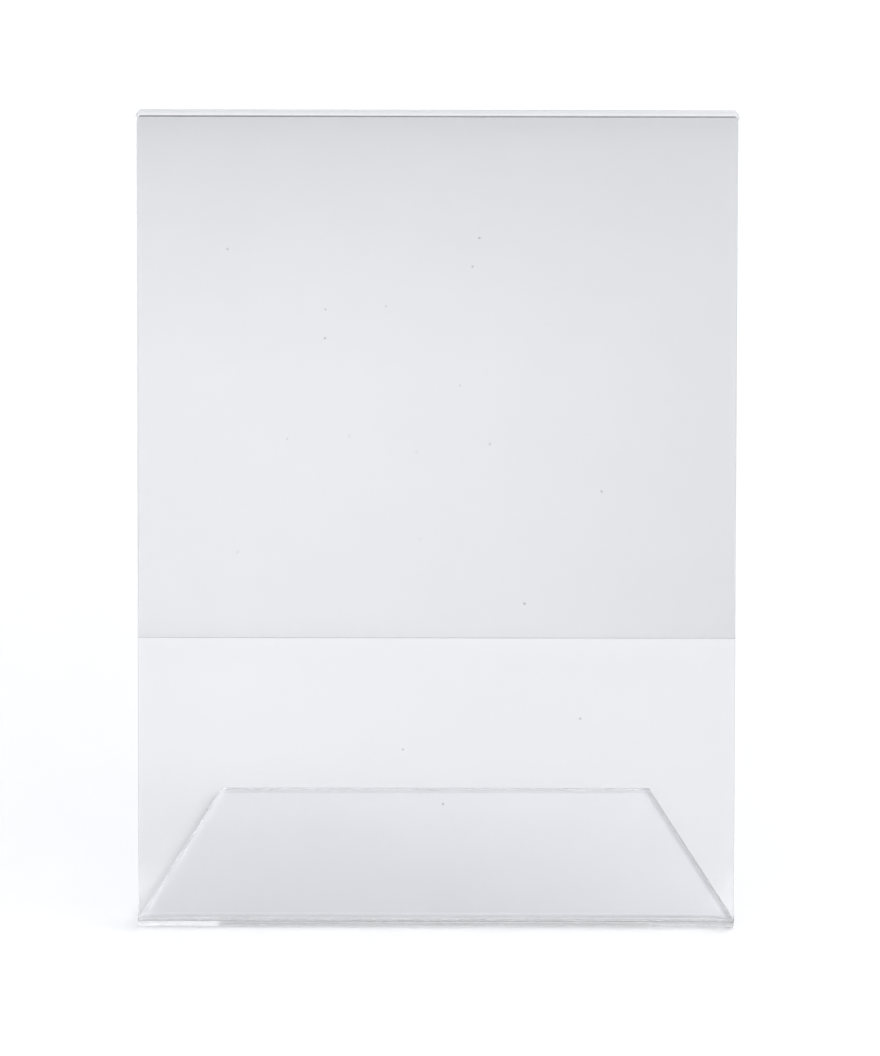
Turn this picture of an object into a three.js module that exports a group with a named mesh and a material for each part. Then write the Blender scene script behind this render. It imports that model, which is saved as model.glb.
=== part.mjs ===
// Slant-back sign holder: one sheet of clear acrylic, bent on two lines.
// The front panel leans back. At its top the sheet folds over into a shorter flap behind the panel,
// and the two hold a sign between them. At its bottom the sheet turns under the panel into a tapered foot.
// The sheet is given as five zones, its flats and its bends, which meet face to face.
// Millimetres. +X runs along the bends, +Y points to the rear and +Z is up, with the table at Z = 0.
import * as THREE from "three";

// Driving dimensions of the sheet
const sheetWidth = 215.9;
const sheetThickness = 3;

// Driving dimensions of the bent shape, all measured on its outside
const leanAngle = THREE.MathUtils.degToRad(20);
const panelHeight = 298; // up the slope, from the table line to the top of the fold
const flapLength = 190.5; // down the slope, from the top of the fold to the free edge
const footDepth = 112; // along the table, from the panel's table line to the rear edge
const footRearWidth = 165.1;

// Driving dimensions of the bends
const pocketGap = 1.6; // clear width between panel and flap, where the sign slides in
const baseInnerRadius = 2.5;
const flexClearance = 0.3; // keeps the flap's upper edge off the fold while it springs open
const topBendSegments = 12;
const baseBendSegments = 12;

// Sizes that follow from the driving dimensions
const topInnerRadius = pocketGap / 2;
const topOuterRadius = topInnerRadius + sheetThickness;
const baseOuterRadius = baseInnerRadius + sheetThickness;
const cornerAngle = Math.PI / 2 - leanAngle;
const baseSetback = baseOuterRadius / Math.tan(cornerAngle / 2); // table line to the bend's two tangent lines
const topTangent = panelHeight - topOuterRadius; // slope length where the panel ends and the fold begins

// A point of the section, as rearward and upward distances from the panel's table line,
// at a length up the slope and a depth behind the panel's front face.
function onSlope(along, behind) {
  return new THREE.Vector2(
    along * Math.sin(leanAngle) + behind * Math.cos(leanAngle),
    along * Math.cos(leanAngle) - behind * Math.sin(leanAngle),
  );
}

const topBendCentre = onSlope(topTangent, topOuterRadius);
const baseBendCentre = new THREE.Vector2(baseSetback, baseOuterRadius);
const backwardAngle = -leanAngle; // direction from the panel's face to its back, in the section
const forwardAngle = Math.PI - leanAngle;
const downwardAngle = (3 * Math.PI) / 2;

// A stretch of flat sheet in the section, between two slope lengths and behind a given depth.
function slopedFlat(low, high, behind) {
  return new THREE.Shape([
    onSlope(low, behind),
    onSlope(low, behind + sheetThickness),
    onSlope(high, behind + sheetThickness),
    onSlope(high, behind),
  ]);
}

// A bend of the sheet in the section, from one direction round to a larger one.
function bend(centre, innerRadius, from, to) {
  const shape = new THREE.Shape();
  shape.absarc(centre.x, centre.y, innerRadius + sheetThickness, from, to, false);
  shape.absarc(centre.x, centre.y, innerRadius, to, from, true);
  return shape;
}

const frontPanelSection = slopedFlat(baseSetback, topTangent, 0);
const backFlapSection = slopedFlat(
  panelHeight - flapLength,
  topTangent - flexClearance,
  sheetThickness + pocketGap,
);
const topBendSection = bend(topBendCentre, topInnerRadius, backwardAngle, forwardAngle);
const baseBendSection = bend(baseBendCentre, baseInnerRadius, forwardAngle, downwardAngle);

// The foot's outline on the table: full width at the base bend, narrower at the rear.
function footOutline() {
  return new THREE.Shape([
    new THREE.Vector2(-sheetWidth / 2, baseSetback),
    new THREE.Vector2(sheetWidth / 2, baseSetback),
    new THREE.Vector2(footRearWidth / 2, footDepth),
    new THREE.Vector2(-footRearWidth / 2, footDepth),
  ]);
}

const acrylicLook = {
  color: 0xe9ebef,
  roughness: 0.05,
  metalness: 0,
  transparent: true,
  opacity: 0.3,
};

function zone(name, geometry) {
  const mesh = new THREE.Mesh(geometry, new THREE.MeshStandardMaterial(acrylicLook));
  mesh.name = name;
  return mesh;
}

// A zone whose section is the same all along the bends' direction.
function fullWidthZone(name, section, curveSegments = 1) {
  return zone(
    name,
    new THREE.ExtrudeGeometry(section, {
      depth: sheetWidth,
      curveSegments,
      bevelEnabled: false,
    }),
  );
}

// The origin is on the table, under the middle of the holder's outline from above.
const frontmost = baseBendCentre.x - baseOuterRadius;
const rearmost = Math.max(footDepth, topBendCentre.x + topOuterRadius);
const tableLineY = -(frontmost + rearmost) / 2;

// The section's axes become +Y and +Z, and its extrusion runs along +X, centred on the holder.
const sections = new THREE.Group();
const alongX = new THREE.Vector3(1, 0, 0);
const alongY = new THREE.Vector3(0, 1, 0);
const alongZ = new THREE.Vector3(0, 0, 1);
sections.quaternion.setFromRotationMatrix(new THREE.Matrix4().makeBasis(alongY, alongZ, alongX));
sections.position.set(-sheetWidth / 2, tableLineY, 0);
sections.add(
  fullWidthZone("front_panel", frontPanelSection),
  fullWidthZone("top_bend", topBendSection, topBendSegments),
  fullWidthZone("back_flap", backFlapSection),
  fullWidthZone("base_bend", baseBendSection, baseBendSegments),
);

const baseFoot = zone(
  "base_foot",
  new THREE.ExtrudeGeometry(footOutline(), { depth: sheetThickness, bevelEnabled: false }),
);
baseFoot.position.y = tableLineY;

const signHolder = new THREE.Group();
signHolder.add(sections, baseFoot);

export default signHolder;
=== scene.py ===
import math

import bpy
import numpy as np
from mathutils import Matrix, Vector


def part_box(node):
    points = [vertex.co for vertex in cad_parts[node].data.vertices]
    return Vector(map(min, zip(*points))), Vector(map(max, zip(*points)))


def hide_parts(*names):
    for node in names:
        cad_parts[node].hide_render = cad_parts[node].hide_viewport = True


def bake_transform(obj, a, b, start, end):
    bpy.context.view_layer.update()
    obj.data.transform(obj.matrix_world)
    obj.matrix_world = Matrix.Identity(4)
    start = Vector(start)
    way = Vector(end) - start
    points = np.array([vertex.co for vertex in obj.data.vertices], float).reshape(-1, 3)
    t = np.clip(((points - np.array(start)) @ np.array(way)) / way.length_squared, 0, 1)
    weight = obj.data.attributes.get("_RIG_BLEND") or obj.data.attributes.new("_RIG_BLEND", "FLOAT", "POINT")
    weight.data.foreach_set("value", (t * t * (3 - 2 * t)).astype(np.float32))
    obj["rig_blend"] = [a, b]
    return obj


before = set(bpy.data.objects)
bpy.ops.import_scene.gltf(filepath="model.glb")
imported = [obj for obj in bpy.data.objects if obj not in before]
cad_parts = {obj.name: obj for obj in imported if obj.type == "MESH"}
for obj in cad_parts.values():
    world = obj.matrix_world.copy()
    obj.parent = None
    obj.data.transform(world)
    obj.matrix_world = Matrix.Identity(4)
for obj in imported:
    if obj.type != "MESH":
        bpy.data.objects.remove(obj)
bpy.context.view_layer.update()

# Driving dimensions of the sheet, in metres, beside those that the frame gives
LEAN = math.radians(20)
PANEL_HEIGHT = 0.298
FLAP_LENGTH = 0.1905
FOOT_REAR_WIDTH = 0.1651
POCKET_GAP = 0.0016
BASE_INNER_RADIUS = 0.0025

# Finish of the sheet's edges, and how the heated bends' ends draw in or swell out
EDGE_RADIUS = 0.00015
TOP_END_INSET = 0.0008
FOLD_THINNING = 0.0004
FLARE_REACH = 0.005
FLARE_SPREAD = 0.007
FLARE_LEFT = 0.0007
FLARE_RIGHT = 0.0016

# Fineness of the mesh
COLUMNS = 41
EDGE_STEPS = 4
FLAT_STEPS = 18
TOP_BEND_STEPS = 40
BASE_BEND_STEPS = 32

# Fineness of the arithmetic: the step for slopes, in metres, and the digits at which points are one point
SLOPE_STEP = 1e-5
WELD_DIGITS = 9

# The acrylic: its tint for light that goes through one sheet, its refraction,
# and how often light may turn inside it
ACRYLIC_TINT = (0.892, 0.895, 0.902)
ACRYLIC_IOR = 1.49
LIGHT_BOUNCES = 64

# Painted shade along the fold, where the sheet's tint is darkened: how much it darkens there, and the length
# over which it fades
NEAR_FOLD_SHADE = 0.05
NEAR_FOLD_SHADE_LENGTH = 0.006
FAR_FOLD_SHADE = 0.028
FAR_FOLD_SHADE_LENGTH = 0.030

# Marks of use: specks of dust, set apart by a spacing, and faint smudges that vary the tint
SPECK_SPACING = 0.018
SPECK_RADIUS = 0.0006
SPECK_DARKNESS = 0.45
SMUDGE_LENGTH = 0.03
SMUDGE_DEPTH = 0.012

# The camera, fitted to the photograph's outline
IMAGE_SIZE = (880, 1056)
FOCAL_PIXELS = 4147
SENSOR = 36
CAMERA_TARGET = Vector((0.00116, -0.0022, 0.13689))
CAMERA_DISTANCE = 1.5
CAMERA_ELEVATION = math.radians(23.29)
CAMERA_AZIMUTH = math.radians(0.22)
CAMERA_ROLL = math.radians(0.18)

# The stage: a white floor just under the foot
FLOOR_SIZE = 40
FLOOR_DROP = 0.00002
FLOOR_WHITE = 0.98

# The strip light: its place, width and height in degrees, its distance in metres,
# and its share of the floor's light. Azimuth 0 is in front of the holder and grows to its right.
STRIP_AZIMUTH = 83
STRIP_ELEVATION = 34
STRIP_WIDTH = 58
STRIP_HEIGHT = 14
STRIP_DISTANCE = 12
STRIP_SHARE = 0.25

# The studio around, as patches of wall painted in turn over a plain level: azimuth, elevation, width,
# height, softness of the upright edges and of the level ones, all in degrees, and the patch's own level
STUDIO_TONE = (0.99, 1.0, 1.03, 1)
AMBIENT = 0.60
WALLS = {
    "ceiling": (0, 90, 400, 50, 8, 8, 0.85),
    "front_top": (0, 40, 90, 24, 8, 8, 2.30),
    "front_left": (-32, 17, 40, 26, 8, 8, 1.20),
    "left": (-75, 30, 50, 50, 8, 8, 0.95),
    "rear_left": (-125, 28, 50, 56, 6, 6, 0.42),
    "right": (75, 30, 50, 50, 8, 8, 1.25),
    "rear_right": (125, 28, 50, 56, 6, 6, 1.00),
    "rear_dark": (180, 40, 60, 90, 6, 6, 0.20),
    "rear_low": (180, 16.5, 60, 9, 6, 6, 0.45),
    "rear_wall": (180, 28.4, 60, 12.8, 6, 6, 1.72),
    "rear_wall_right": (165, 28.4, 30, 12.8, 12, 6, 1.95),
    "rear_bar": (195, 28.7, 36, 1.4, 8, 2.2, 1.32),
    "camera_side": (0, 34, 20, 56, 6, 6, 0.02),
    "card": (-9.5, 16.6, 25.6, 9.1, 12, 5.6, 1.05),
    "card_gap": (0, 10.1, 20, 10, 6, 0.6, 0.02),
    "card_low": (-10.5, 14.1, 23.4, 2, 9, 1, 0.55),
}

# Sizes that follow
foot_low, foot_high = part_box("base_foot")
HALF_WIDTH = foot_high.x
THICKNESS = foot_high.z - foot_low.z
FOOT_START = foot_low.y
FOOT_END = foot_high.y
BASE_OUTER_RADIUS = BASE_INNER_RADIUS + THICKNESS
TOP_INNER_RADIUS = POCKET_GAP / 2
TOP_OUTER_RADIUS = TOP_INNER_RADIUS + THICKNESS
BASE_SETBACK = BASE_OUTER_RADIUS / math.tan((math.pi / 2 - LEAN) / 2)
TABLE_LINE = FOOT_START - BASE_SETBACK
TOP_TANGENT = PANEL_HEIGHT - TOP_OUTER_RADIUS


def on_slope(along, behind):
    """A point of the section, at a length up the slope and a depth behind the panel's front face."""
    return np.array((
        TABLE_LINE + along * math.sin(LEAN) + behind * math.cos(LEAN),
        along * math.cos(LEAN) - behind * math.sin(LEAN),
    ))


BACKWARD = np.array((math.cos(LEAN), -math.sin(LEAN)))
TOP_CENTRE = on_slope(TOP_TANGENT, TOP_OUTER_RADIUS)
BASE_CENTRE = np.array((FOOT_START, BASE_OUTER_RADIUS))


class Station:
    """One cross-section of the sheet, where its length has reached a point of the bent path."""

    def __init__(self, point, outward, half_width=HALF_WIDTH, taper=0.0, inset=0.0, turn=0.0):
        self.point = np.array(point)
        self.outward = np.array(outward)
        self.onward = np.array((-outward[1], outward[0]))
        self.half_width = half_width
        self.taper = taper
        self.inset = inset
        self.turn = turn


def graded(count):
    """Shares from 0 to 1, closer together at both ends."""
    return [0.5 - 0.5 * math.cos(math.pi * k / count) for k in range(count + 1)]


def bend_stations(centre, inner_radius, first, last, steps, inset):
    """A bend of the sheet. Its ends draw in on the outer side and swell on the inner one."""
    middle = inner_radius + THICKNESS / 2
    stations = []
    for k in range(1, steps):
        angle = first + (last - first) * k / steps
        outward = np.array((math.cos(angle), math.sin(angle)))
        drawn_in = inset * math.sin(math.pi * k / steps)
        stations.append(Station(centre + middle * outward, outward, inset=drawn_in))
    return stations


def end_stations(station, direction):
    """Rounds the sheet's free edge: stations that turn from the flat to the edge face."""
    stations = []
    for k in range(1, EDGE_STEPS + 1):
        turn = math.pi / 2 * k / EDGE_STEPS
        reach = EDGE_RADIUS * (math.sin(turn) - 1) * direction
        stations.append(Station(
            station.point + station.onward * reach,
            station.outward,
            station.half_width,
            station.taper,
            turn=turn * direction,
        ))
    return stations


def slope_stations(first, last, depth, outward):
    """A flat of the sheet that lies along the slope, from one length up it to another."""
    stations = []
    for share in graded(FLAT_STEPS):
        along = first + (last - first) * share
        stations.append(Station(on_slope(along, depth), outward))
    return stations


def foot_stations():
    """The foot, which narrows towards its rounded rear edge."""
    rear_half = FOOT_REAR_WIDTH / 2
    taper = math.atan((HALF_WIDTH - rear_half) / (FOOT_END - FOOT_START))
    downward = np.array((0.0, -1.0))
    stations = []
    for share in graded(FLAT_STEPS):
        y = FOOT_START + (FOOT_END - EDGE_RADIUS - FOOT_START) * share
        half = HALF_WIDTH - (y - FOOT_START) * math.tan(taper)
        stations.append(Station((y, THICKNESS / 2), downward, half, taper))
    rear = Station((FOOT_END, THICKNESS / 2), downward, rear_half, taper)
    return stations + end_stations(rear, 1)


def sheet_stations():
    """The whole sheet, from the flap's free edge over the fold and panel to the foot's rear edge."""
    flap_depth = THICKNESS * 1.5 + POCKET_GAP
    flap_edge = PANEL_HEIGHT - FLAP_LENGTH
    stations = end_stations(Station(on_slope(flap_edge, flap_depth), BACKWARD), -1)[::-1]
    stations += slope_stations(flap_edge + EDGE_RADIUS, TOP_TANGENT, flap_depth, BACKWARD)
    stations += bend_stations(
        TOP_CENTRE, TOP_INNER_RADIUS, -LEAN, math.pi - LEAN, TOP_BEND_STEPS, TOP_END_INSET
    )
    stations += slope_stations(TOP_TANGENT, BASE_SETBACK, THICKNESS / 2, -BACKWARD)
    stations += bend_stations(
        BASE_CENTRE, BASE_INNER_RADIUS, math.pi - LEAN, 1.5 * math.pi, BASE_BEND_STEPS, 0.0
    )
    return stations + foot_stations()


def section_loop():
    """The sheet's rounded section: each point's share of the inner rectangle, and the way out of it."""
    columns = [math.sin(math.pi / 2 * (2 * k / (COLUMNS - 1) - 1)) for k in range(COLUMNS)]
    loop = [(x, 1, 0.0, 1.0) for x in columns]
    quarter = [math.pi / 2 * k / EDGE_STEPS for k in range(EDGE_STEPS + 1)]
    loop += [(1, 1, math.sin(a), math.cos(a)) for a in quarter[1:]]
    loop += [(1, -1, math.cos(a), -math.sin(a)) for a in quarter[:-1]]
    loop += [(x, -1, 0.0, -1.0) for x in reversed(columns)]
    loop += [(-1, -1, -math.sin(a), -math.cos(a)) for a in quarter[1:]]
    loop += [(-1, 1, -math.cos(a), math.sin(a)) for a in quarter[:-1]]
    return loop


def ring(station, loop):
    """One station's points and normals, in the frame's axes."""
    offset = EDGE_RADIUS * math.cos(station.turn)
    half_depth = THICKNESS / 2 - EDGE_RADIUS
    points = []
    normals = []
    for across, side, out_x, out_n in loop:
        half = station.half_width - EDGE_RADIUS - station.inset * side
        x = across * half + offset * out_x
        depth = side * half_depth + offset * out_n
        section = station.point + station.outward * depth
        points.append((x, section[0], section[1]))
        lateral = out_x * math.cos(station.taper)
        forward = abs(out_x) * math.sin(station.taper)
        flat = station.outward * out_n + station.onward * forward
        flat = flat * math.cos(station.turn) + station.onward * math.sin(station.turn)
        normals.append((lateral * math.cos(station.turn), flat[0], flat[1]))
    return points, normals


def flare(points):
    """How far the ends of the base bend swell forward, as bent sheet does at its free edges."""
    x, y, z = points.T
    reach = np.where(x > 0, FLARE_RIGHT, FLARE_LEFT)
    ends = np.exp(-np.maximum(HALF_WIDTH - np.abs(x), 0) / FLARE_REACH)
    away = np.hypot(y - BASE_CENTRE[0], z - BASE_CENTRE[1])
    amount = reach * ends * np.exp(-((away / FLARE_SPREAD) ** 2))
    return np.stack((np.zeros_like(x), -amount, np.zeros_like(x)), axis=1)


def thinning(points):
    """How far the fold's inside rises, where the heated sheet has stretched and is thinner."""
    _, y, z = points.T
    along = (y - TOP_CENTRE[0]) * math.sin(LEAN) + (z - TOP_CENTRE[1]) * math.cos(LEAN)
    away = np.maximum(np.hypot(y - TOP_CENTRE[0], z - TOP_CENTRE[1]), SLOPE_STEP)
    inward = np.clip((TOP_OUTER_RADIUS - away) / THICKNESS, 0, 1)
    amount = FOLD_THINNING * inward * np.maximum(along / away, 0) ** 2
    return np.stack((np.zeros_like(y), amount * math.sin(LEAN), amount * math.cos(LEAN)), axis=1)


def deform(points, normals, field):
    """Moves points by a field and turns their normals with it."""
    columns = []
    for axis in np.eye(3) * SLOPE_STEP:
        slope = (field(points + axis) - field(points - axis)) / (2 * SLOPE_STEP)
        columns.append(slope)
    jacobian = np.eye(3) + np.stack(columns, axis=2)
    turned = np.einsum("nij,nj->ni", np.linalg.inv(jacobian).transpose(0, 2, 1), normals)
    turned /= np.linalg.norm(turned, axis=1, keepdims=True)
    return points + field(points), turned


def sheet_faces(rings, count):
    """Quads between neighbouring rings, and strips that close the two free edges."""
    faces = []
    for i in range(rings - 1):
        for j in range(count):
            k = (j + 1) % count
            a = i * count
            b = a + count
            faces.append((a + j, b + j, b + k, a + k))
    last = (rings - 1) * count
    inner = COLUMNS + 2 * EDGE_STEPS
    for j in range(COLUMNS - 1):
        far = inner + COLUMNS - 1 - j
        faces.append((j, j + 1, far - 1, far))
        faces.append((last + j + 1, last + j, last + far, last + far - 1))
    return faces


def welded(points, normals, faces):
    """Joins points that lie on each other, and leaves out the sides that this closes up."""
    _, first, place = np.unique(points.round(WELD_DIGITS), axis=0, return_index=True, return_inverse=True)
    place = place.ravel()
    joined = []
    for face in faces:
        corners = [int(place[corner]) for corner in face]
        corners = [c for k, c in enumerate(corners) if c != corners[k - 1]]
        if len(corners) > 2:
            joined.append(corners)
    return points[first], normals[first], joined


def make_sheet():
    """The bent sheet as one closed mesh, with the normals of its true surface."""
    stations = sheet_stations()
    loop = section_loop()
    points = []
    normals = []
    for station in stations:
        ring_points, ring_normals = ring(station, loop)
        points += ring_points
        normals += ring_normals
    points, normals = deform(np.array(points), np.array(normals), flare)
    points, normals = deform(points, normals, thinning)
    points, normals, faces = welded(points, normals, sheet_faces(len(stations), len(loop)))
    mesh = bpy.data.meshes.new("bent_sheet")
    mesh.from_pydata(points.tolist(), [], faces)
    mesh.polygons.foreach_set("use_smooth", [True] * len(mesh.polygons))
    mesh.normals_split_custom_set_from_vertices(normals.tolist())
    sheet = bpy.data.objects.new("bent_sheet", mesh)
    bpy.context.scene.collection.objects.link(sheet)
    return sheet


def spring_flap(sheet):
    """Lets the flap spring off the panel: the fold between them turns from one body to the other."""
    start = on_slope(TOP_TANGENT, THICKNESS)
    end = on_slope(TOP_TANGENT, THICKNESS + POCKET_GAP)
    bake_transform(sheet, "holder", "flap", start=(0, start[0], start[1]), end=(0, end[0], end[1]))
    # The foot lies behind the panel too, so all that is lower than the flap is given back to the holder.
    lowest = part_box("back_flap")[0].z - EDGE_RADIUS
    weights = sheet.data.attributes["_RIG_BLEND"].data
    for vertex in sheet.data.vertices:
        if vertex.co.z < lowest:
            weights[vertex.index].value = 0.0


def math_node(tree, operation, first, second=None):
    """One step of arithmetic on node outputs or plain numbers."""
    node = tree.nodes.new("ShaderNodeMath")
    node.operation = operation
    for socket, value in zip(node.inputs, (first, second)):
        if isinstance(value, bpy.types.NodeSocket):
            tree.links.new(value, socket)
        elif value is not None:
            socket.default_value = value
    return node.outputs["Value"]


def dot_node(tree, vector, direction):
    """How far a node's vector reaches in a fixed direction."""
    node = tree.nodes.new("ShaderNodeVectorMath")
    node.operation = "DOT_PRODUCT"
    tree.links.new(vector, node.inputs[0])
    node.inputs[1].default_value = direction
    return node.outputs["Value"]


def fading_painted_shade(tree, depth, shade_strength, length):
    """Painted shade that fades with the distance below the fold."""
    share = math_node(tree, "EXPONENT", math_node(tree, "DIVIDE", depth, -length))
    return math_node(tree, "MULTIPLY", share, shade_strength)


def fold_painted_shade(tree, place):
    """How much of the sheet's tint is kept, under painted shade that darkens it at the fold and fades
    further down.
    """
    up_slope = Vector((0, math.sin(LEAN), math.cos(LEAN)))
    top = PANEL_HEIGHT + TABLE_LINE * math.sin(LEAN)
    depth = math_node(tree, "SUBTRACT", top, dot_node(tree, place, up_slope))
    depth = math_node(tree, "MAXIMUM", depth, 0.0)
    near = fading_painted_shade(tree, depth, NEAR_FOLD_SHADE, NEAR_FOLD_SHADE_LENGTH)
    far = fading_painted_shade(tree, depth, FAR_FOLD_SHADE, FAR_FOLD_SHADE_LENGTH)
    return math_node(tree, "SUBTRACT", math_node(tree, "SUBTRACT", 1.0, near), far)


def speck_clearness(tree, place):
    """Darkens small round specks, where a scattered point lies on the sheet's face."""
    cells = tree.nodes.new("ShaderNodeTexVoronoi")
    cells.inputs["Scale"].default_value = 1 / SPECK_SPACING
    tree.links.new(place, cells.inputs["Vector"])
    speck = tree.nodes.new("ShaderNodeMapRange")
    speck.interpolation_type = "SMOOTHSTEP"
    speck.inputs["From Min"].default_value = SPECK_RADIUS / SPECK_SPACING / 2
    speck.inputs["From Max"].default_value = SPECK_RADIUS / SPECK_SPACING
    speck.inputs["To Min"].default_value = 1 - SPECK_DARKNESS
    tree.links.new(cells.outputs["Distance"], speck.inputs["Value"])
    return speck.outputs["Result"]


def smudge_clearness(tree, place):
    """Varies the tint a little, in soft patches."""
    noise = tree.nodes.new("ShaderNodeTexNoise")
    noise.inputs["Scale"].default_value = 1 / SMUDGE_LENGTH
    tree.links.new(place, noise.inputs["Vector"])
    smudge = math_node(tree, "MULTIPLY", noise.outputs["Fac"], SMUDGE_DEPTH)
    return math_node(tree, "SUBTRACT", 1 + SMUDGE_DEPTH / 2, smudge)


def acrylic_material():
    """Clear acrylic, whose tint varies with specks and smudges and is darkened towards the fold by painted
    shade.
    """
    material = bpy.data.materials.new("clear_acrylic")
    material.use_nodes = True
    tree = material.node_tree
    place = tree.nodes.new("ShaderNodeTexCoord").outputs["Object"]
    tint = tree.nodes.new("ShaderNodeVectorMath")
    tint.operation = "SCALE"
    tint.inputs["Vector"].default_value = ACRYLIC_TINT
    tint_scale = math_node(tree, "MULTIPLY", speck_clearness(tree, place), smudge_clearness(tree, place))
    # The tint is also darkened towards the fold: painted shade.
    tint_scale = math_node(tree, "MULTIPLY", tint_scale, fold_painted_shade(tree, place))
    tree.links.new(tint_scale, tint.inputs["Scale"])
    shader = tree.nodes["Principled BSDF"]
    tree.links.new(tint.outputs["Vector"], shader.inputs["Base Color"])
    shader.inputs["Roughness"].default_value = 0.0
    shader.inputs["IOR"].default_value = ACRYLIC_IOR
    shader.inputs["Transmission Weight"].default_value = 1.0
    return material


def floor_material():
    """Plain matt white."""
    material = bpy.data.materials.new("white_floor")
    material.use_nodes = True
    shader = material.node_tree.nodes["Principled BSDF"]
    shader.inputs["Base Color"].default_value = (FLOOR_WHITE, FLOOR_WHITE, FLOOR_WHITE, 1)
    shader.inputs["Roughness"].default_value = 1.0
    shader.inputs["Specular IOR Level"].default_value = 0.0
    return material


def make_floor():
    """A wide floor, just clear of the foot's underside."""
    half = FLOOR_SIZE / 2
    corners = [(-half, -half), (half, -half), (half, half), (-half, half)]
    mesh = bpy.data.meshes.new("floor")
    mesh.from_pydata([(x, y, -FLOOR_DROP) for x, y in corners], [], [(0, 1, 2, 3)])
    floor = bpy.data.objects.new("floor", mesh)
    floor.data.materials.append(floor_material())
    bpy.context.scene.collection.objects.link(floor)


def towards(azimuth, elevation):
    """The direction from the holder to a place in the studio."""
    a = math.radians(azimuth)
    e = math.radians(elevation)
    return Vector((math.sin(a) * math.cos(e), -math.cos(a) * math.cos(e), math.sin(e)))


def make_strip_light():
    """A long soft lamp at the holder's right, which gives the floor its share of full light."""
    light = bpy.data.lights.new("strip_light", "AREA")
    light.shape = "RECTANGLE"
    light.size = 2 * STRIP_DISTANCE * math.tan(math.radians(STRIP_WIDTH / 2))
    light.size_y = 2 * STRIP_DISTANCE * math.tan(math.radians(STRIP_HEIGHT / 2))
    full_light = (math.pi * STRIP_DISTANCE) ** 2 / math.sin(math.radians(STRIP_ELEVATION))
    light.energy = STRIP_SHARE * full_light
    lamp = bpy.data.objects.new("strip_light", light)
    direction = towards(STRIP_AZIMUTH, STRIP_ELEVATION)
    lamp.location = direction * STRIP_DISTANCE
    lamp.rotation_mode = "QUATERNION"
    lamp.rotation_quaternion = direction.to_track_quat("Z", "Y")
    bpy.context.scene.collection.objects.link(lamp)


def soft_edge(tree, angle, size, edge):
    """1 where an angle is well inside half a size, falling to 0 across the edge."""
    node = tree.nodes.new("ShaderNodeMapRange")
    node.interpolation_type = "SMOOTHSTEP"
    node.inputs["From Min"].default_value = math.radians(size / 2 + edge / 2)
    node.inputs["From Max"].default_value = math.radians(size / 2 - edge / 2)
    tree.links.new(math_node(tree, "ABSOLUTE", angle), node.inputs["Value"])
    return node.outputs["Result"]


def inside_patch(tree, view, azimuth, elevation, width, height, side_edge, upper_edge):
    """1 in the directions of a patch of the studio's walls, 0 elsewhere, with soft edges."""
    ahead = dot_node(tree, view, towards(azimuth, 0))
    aside = dot_node(tree, view, towards(azimuth + 90, 0))
    turn = math_node(tree, "ARCTAN2", aside, ahead)
    climb = math_node(tree, "ARCSINE", dot_node(tree, view, (0, 0, 1)))
    climb = math_node(tree, "SUBTRACT", climb, math.radians(elevation))
    across = soft_edge(tree, turn, width, side_edge)
    return math_node(tree, "MULTIPLY", across, soft_edge(tree, climb, height, upper_edge))


def make_world():
    """The studio around the holder: its walls, painted in turn over the plain level."""
    world = bpy.data.worlds.new("studio")
    world.use_nodes = True
    tree = world.node_tree
    view = tree.nodes.new("ShaderNodeTexCoord").outputs["Generated"]
    level = AMBIENT
    for *patch, wall in WALLS.values():
        inside = inside_patch(tree, view, *patch)
        kept = math_node(tree, "MULTIPLY", level, math_node(tree, "SUBTRACT", 1.0, inside))
        level = math_node(tree, "ADD", kept, math_node(tree, "MULTIPLY", inside, wall))
    background = tree.nodes["Background"]
    background.inputs["Color"].default_value = STUDIO_TONE
    tree.links.new(level, background.inputs["Strength"])
    bpy.context.scene.world = world


def make_camera():
    """The camera at the photograph's place, aimed at its target."""
    cosine = math.cos(CAMERA_ELEVATION)
    forward = Vector((
        math.sin(CAMERA_AZIMUTH) * cosine,
        math.cos(CAMERA_AZIMUTH) * cosine,
        -math.sin(CAMERA_ELEVATION),
    ))
    data = bpy.data.cameras.new("camera")
    data.sensor_width = SENSOR
    data.lens = FOCAL_PIXELS * SENSOR / max(IMAGE_SIZE)
    camera = bpy.data.objects.new("camera", data)
    turn = forward.to_track_quat("-Z", "Y").to_matrix() @ Matrix.Rotation(CAMERA_ROLL, 3, "Z")
    camera.matrix_world = Matrix.Translation(CAMERA_TARGET - forward * CAMERA_DISTANCE) @ turn.to_4x4()
    bpy.context.scene.collection.objects.link(camera)
    bpy.context.scene.camera = camera


def set_light_paths():
    """Lets light run on inside the clear sheet, along its many inner reflections, and keeps it sharp."""
    cycles = bpy.context.scene.cycles
    cycles.max_bounces = LIGHT_BOUNCES
    cycles.glossy_bounces = LIGHT_BOUNCES
    cycles.transmission_bounces = LIGHT_BOUNCES
    cycles.blur_glossy = 0.0
    cycles.sample_clamp_indirect = 0.0
    cycles.use_guiding = True


make_camera()
sheet = make_sheet()
sheet.data.materials.append(acrylic_material())
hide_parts("front_panel", "top_bend", "back_flap", "base_bend", "base_foot")
spring_flap(sheet)
make_floor()
make_strip_light()
make_world()
set_light_paths()
bpy.context.scene.view_settings.view_transform = "Standard"
